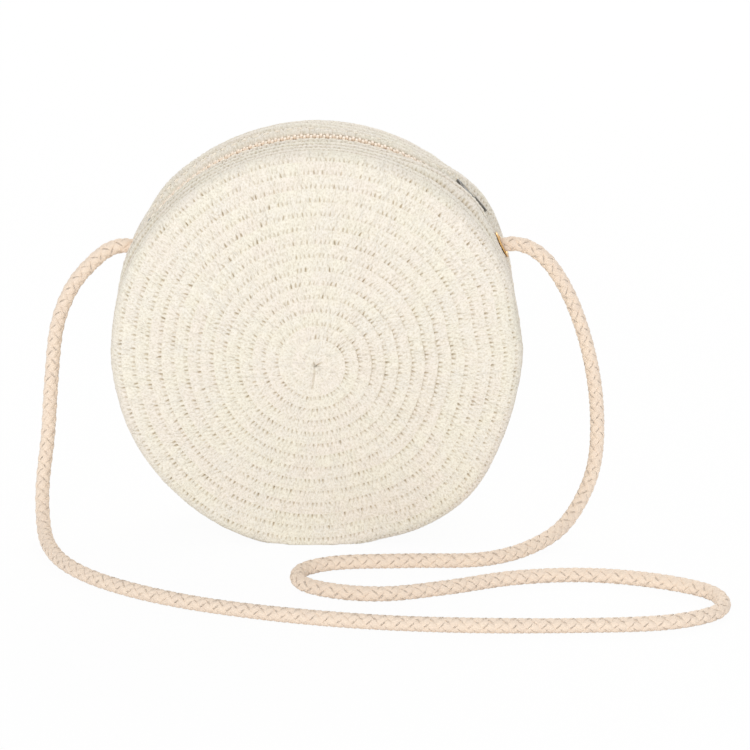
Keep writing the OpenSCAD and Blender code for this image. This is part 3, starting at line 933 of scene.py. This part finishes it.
def lining_strip(name, side):
    """The cloth inside the gusset. It starts at the mouth, the seam or an eyelet, and its far
    edge folds inward along the disc."""
    angles = np.linspace(-180, 180, 361)[:, None]
    arc = np.radians(np.abs(angles) - EYELET_ANGLE) * STRIP_R
    edge = np.where(np.abs(angles) < MOUTH_ANGLE, MOUTH_Y, 0.00001)
    edge = np.maximum(edge, np.sqrt(np.maximum(STRIP_CUT ** 2 - arc ** 2, 0)))
    share = np.array((0, 0.33, 0.67, 1, 1, 1, 1, 0.67, 0.33, 0))
    slope = np.array((0, 0, 0, 0, 0.5, 1, 1, 0, 0, 0))
    inner = np.array((0,) * 6 + (LINING_T,) * 4)
    depth = edge + (STRIP_Y - edge) * share + STRIP_FOLD_Y * slope - 0.3 * inner * slope
    depth = depth - np.where(slope == 1, inner, 0)
    radius = STRIP_R - STRIP_FOLD_R * slope - inner * (1 - slope)
    radius = radius + swelling(angles, DENTS) * (1 - 0.6 * slope)
    turn = np.radians(angles)
    height = np.maximum(CENTRE_Z + radius * np.cos(turn), LINING_Z + inner)
    places = np.stack((radius * np.sin(turn), side * depth, height), axis=-1)
    return sewn(name, [laid_grid(name, closed(places))])


def make_lining(cloth):
    for side, word in ((-1, "front"), (1, "back")):
        disc = piece(lining_disc("lining_disc_" + word, side), cloth,
                     ("lining_" + word,), bends=side < 0)
        band = piece(lining_strip("lining_strip_" + word, side), cloth,
                     ("lining_gusset",), bends=side < 0)


# Stitches
def stitches(name, spots, length):
    """Short threads, each along its own local X."""
    size = Matrix.Diagonal((length, THREAD_D, THREAD_D, 1))
    made = bmesh.new()
    for spot in spots:
        bmesh.ops.create_uvsphere(made, u_segments=8, v_segments=6, radius=0.5, matrix=spot @ size)
    return finished(name, made)


def make_stitches(thread):
    lift = BAG_R + 0.0001
    span = 2 * (MOUTH_ANGLE - math.degrees(MOUTH_STITCH / CHAIN_R))
    depth = MOUTH_Y + PITCH / 2
    past = RIM_Y - EDGE_R - depth
    angles = [span * (i / (MOUTH_STITCHES - 1) - 0.5) for i in range(MOUTH_STITCHES)]
    for side, word in ((-1, "front"), (1, "back")):
        spots = [place(angle, lift + gusset_rise(angle, past, side < 0))
                 @ Matrix.Translation((0, side * depth, 0)) for angle in angles]
        piece(stitches("mouth_thread_" + word, spots, MOUTH_STITCH), thread,
              ("mouth_stitches_" + word,), bends=side < 0)

    first = EYELET_ANGLE + math.degrees(SEAM_START / CHAIN_R)
    step = math.degrees(SEAM_STEP / CHAIN_R)
    across = Matrix.Rotation(math.radians(90), 4, "Z")
    angles = [side * (first + i * step) for side in (-1, 1) for i in range(SEAM_STITCHES)]
    spots = [place(angle, lift + swelling(angle, DENTS)) @ across for angle in angles]
    for spot in spots:
        spot.translation.z = max(spot.translation.z, THREAD_D / 2)
    piece(stitches("seam_thread", spots, SEAM_STITCH), thread, ("seam_stitches",))


# Stage
def set_floor():
    made = bmesh.new()
    bmesh.ops.create_grid(made, x_segments=1, y_segments=1, size=6)
    mesh = bpy.data.meshes.new("floor")
    made.to_mesh(mesh)
    made.free()
    mesh.materials.append(floor_finish())
    floor = bpy.data.objects.new("floor", mesh)
    scene.collection.objects.link(floor)


def set_air():
    """White air for the camera, which lights the bag less than it shows."""
    world = bpy.data.worlds.new("studio")
    scene.world = world
    world.use_nodes = True
    nodes = Nodes(world.node_tree)
    air = nodes.tree.nodes["Background"]
    nodes.join(WHITE, air.inputs["Color"])
    strength = nodes.node("ShaderNodeMapRange", sockets={
        "Value": nodes.seen(), "To Min": 0.65, "To Max": 1.0})
    nodes.join(strength, air.inputs["Strength"])


def set_lamps():
    middle = Vector((0, 0, 0.09))
    for name, eye, size, power in (
        ("soft_front", (-0.4, -2.8, 0.95), 1.0, 30),
        ("soft_back", (0.5, 2.2, 1.8), 1.6, 29),
    ):
        lamp = bpy.data.lights.new(name, "AREA")
        lamp.color = (1.0, 0.985, 0.955)
        lamp.shape = "SQUARE"
        lamp.size = size
        lamp.energy = power
        made = bpy.data.objects.new(name, lamp)
        made.location = eye
        made.rotation_euler = (middle - Vector(eye)).to_track_quat("-Z", "Y").to_euler()
        scene.collection.objects.link(made)


scene.view_settings.view_transform = "Standard"
set_camera()
set_floor()
set_air()
set_lamps()
make_cord(cotton_finish())
make_plait(straw_finish())
# The steel's dark colour is partly its own plated grey and partly painted reflection, standing in
# for dark studio surroundings mirrored in the metal
steel_finish = metal_finish("zip_steel", colour(122, 119, 112), colour(84, 82, 77), 0.26)
brass_finish = metal_finish("eyelet_brass", colour(226, 184, 120), colour(198, 152, 92), 0.26)
make_zip(tape_finish(), teeth_finish(), steel_finish)
make_eyelets(brass_finish)
make_lining(cloth_finish())
make_stitches(thread_finish())
